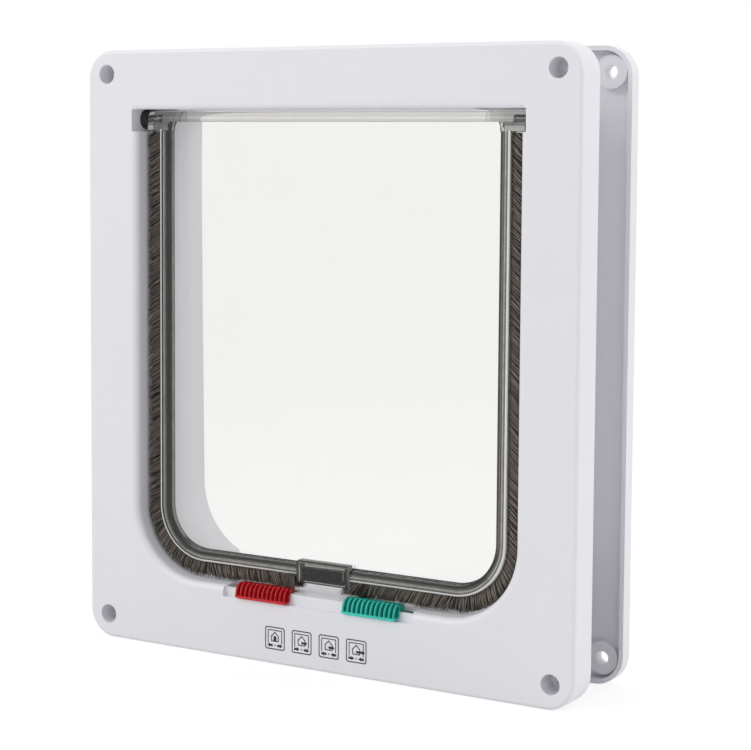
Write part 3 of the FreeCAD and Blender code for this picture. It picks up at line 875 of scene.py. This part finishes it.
def flat_prism(points, faces, outline):
    """Thin plate on the front face with the given outline, added to a mesh."""
    low, high = SIGN_DEPTHS
    start = len(points)
    size = len(outline)
    points += [(x, low, z) for x, z in outline] + [(x, high, z) for x, z in outline]
    faces.append([start + i for i in range(size)])
    faces.append([start + size + i for i in reversed(range(size))])
    for index in range(size):
        after = (index + 1) % size
        faces.append((start + index, start + index + size, start + after + size, start + after))


def add_line(points, faces, path, width, closed=False):
    """Line of a given width along a path, as short thin plates that share their ends."""
    path = [np.asarray(p, float) for p in path]
    pairs = list(zip(path[:-1], path[1:]))
    if closed:
        pairs.append((path[-1], path[0]))
    for start, end in pairs:
        way = (end - start) / np.linalg.norm(end - start)
        cap = way * width * 0.35
        out = np.array([-way[1], way[0]]) * width / 2
        corners = [start - cap + out, start - cap - out, end + cap - out, end + cap + out]
        flat_prism(points, faces, corners)


def add_arrow(points, faces, tip, tail, width):
    """Short solid arrow from a tail to a tip."""
    tip, tail = np.asarray(tip, float), np.asarray(tail, float)
    way = (tip - tail) / np.linalg.norm(tip - tail)
    out = np.array([-way[1], way[0]])
    neck = tip - way * width * 1.1
    outline = [
        tip, neck + out * width * 0.75, neck + out * width * 0.4, tail + out * width * 0.4,
        tail - out * width * 0.4, neck - out * width * 0.4, neck - out * width * 0.75,
    ]
    flat_prism(points, faces, outline)


def make_pictograms(material):
    """Four line signs: a house with an arrow, over two small arrows."""
    points, faces = [], []
    low_pairs = [(-1, 1), (1, 1), (-1, -1), (1, -1)]
    for index, pair in enumerate(low_pairs):
        middle = SIGN_MIDDLE + (index - 1.5) * SIGN_PITCH
        frame_line = rounded_rectangle((middle - 4.55, 6.35), (middle + 4.55, 15.3), 0.9)
        add_line(points, faces, frame_line, 0.44, True)
        inner = [(middle - 3.3, 8.9), (middle - 3.3, 14.1), (middle + 3.3, 14.1), (middle + 3.3, 8.9)]
        add_line(points, faces, inner, 0.38)
        house = [(-1.6, 9.6), (-1.7, 11.6), (0, 13.3), (1.7, 11.6), (1.6, 9.6)]
        add_line(points, faces, [(middle + x, z) for x, z in house], 0.42, True)
        if index == 0:
            door = rounded_rectangle((middle - 0.75, 9.6), (middle + 0.75, 11.7), 0.5)
            flat_prism(points, faces, door)
        if index in (1, 3):
            reach = 4.1 if index == 3 else 2.8
            add_arrow(points, faces, (middle + reach, 10.6), (middle - 0.1, 10.6), 1.15)
        if index == 2:
            add_arrow(points, faces, (middle - 0.4, 10.6), (middle + 2.6, 10.6), 1.15)
        for side, way in zip((-1, 1), pair):
            place = middle + side * 2.35
            add_arrow(points, faces, (place + way * 1.4, 7.85), (place - way * 1.3, 7.85), 1.2)
        dot = rounded_rectangle((middle - 0.3, 7.6), (middle + 0.3, 8.2), 0.25)
        flat_prism(points, faces, dot)
    signs = make_piece("pictograms", points, faces, material, "fixed_frame", "black_nylon")
    clean_normals(signs)


# ---- scene ----

make_camera()
make_world()
make_floor()
make_lamp("key", (-0.95, -1.3, 1.2), 1.0, 10.2)
make_lamp("fill", (1.75, 0.6, 0.85), 1.0, 9.0)
make_lamp("top", (0.1, 0.3, 1.9), 1.2, 4.8)

white = plastic("white_abs", (0.855, 0.85, 0.893), (0.845, 0.84, 0.883), (0.29, 0.4), 0.03)
clear = clear_plastic("smoke_clear")
# The last colour of each grip plastic is the painted shade deep between its ribs.
red = plastic(
    "red_plastic", (0.68, 0.009, 0.016), (0.58, 0.006, 0.01), (0.12, 0.24), 0.05, 0.4, (0.2, 0.0, 0.001))
green = plastic(
    "green_plastic", (0.04, 0.7, 0.58), (0.025, 0.6, 0.5), (0.1, 0.26), 0.05, 0.45, (0.0, 0.1, 0.08))
# Darker copies of the grips' plastics for the latches: painted shade, as the latches stand in the pile's
# shade.
red_latch_painted_shade = plastic("red_latch_shaded_plastic", (0.4, 0.003, 0.006), (0.34, 0.002, 0.004), (0.12, 0.24), 0.05, 0.3)
green_latch_painted_shade = plastic("green_latch_shaded_plastic", (0.006, 0.36, 0.28), (0.004, 0.3, 0.23), (0.12, 0.24), 0.05, 0.3)
nylon = plastic("black_nylon", (0.016, 0.016, 0.016), (0.01, 0.01, 0.0105), (0.3, 0.42), 0.3)
steel = metal("pin_steel", (0.62, 0.62, 0.63), (0.5, 0.5, 0.51), (0.2, 0.34))
magnet = metal("magnet_dark", (0.19, 0.135, 0.11), (0.07, 0.05, 0.04), (0.45, 0.65))
pile = pile_fibre("grey_pile")

by_slot = {
    "white_abs": white,
    "smoke_clear": clear,
    "grey_pile": pile,
    "red_plastic": red,
    "green_plastic": green,
    "black_nylon": nylon,
    "pin_steel": steel,
    "magnet_dark": magnet,
}
# The latches take the darker copies, which paint the pile's shade on them.
shaded_copy_by_node = {"red_latch": red_latch_painted_shade, "green_latch": green_latch_painted_shade}
for row in frame["record"]["subparts"]:
    node = nodes[row["node"]]
    node.data.materials.clear()
    node.data.materials.append(shaded_copy_by_node.get(row["node"]) or by_slot[row["material_slot"]])

make_flap(clear)
make_housing(clear)
make_pile("pile_left", -1, pile, "brush_strip_left")
make_pile("pile_right", 1, pile, "brush_strip_right")
make_grip("grip_red", -1, red, "red_plastic", "red_lock_grip", "red_lock")
make_grip("grip_green", 1, green, "green_plastic", "green_lock_grip", "green_lock")
make_pictograms(nylon)

bpy.context.scene.view_settings.view_transform = "Standard"
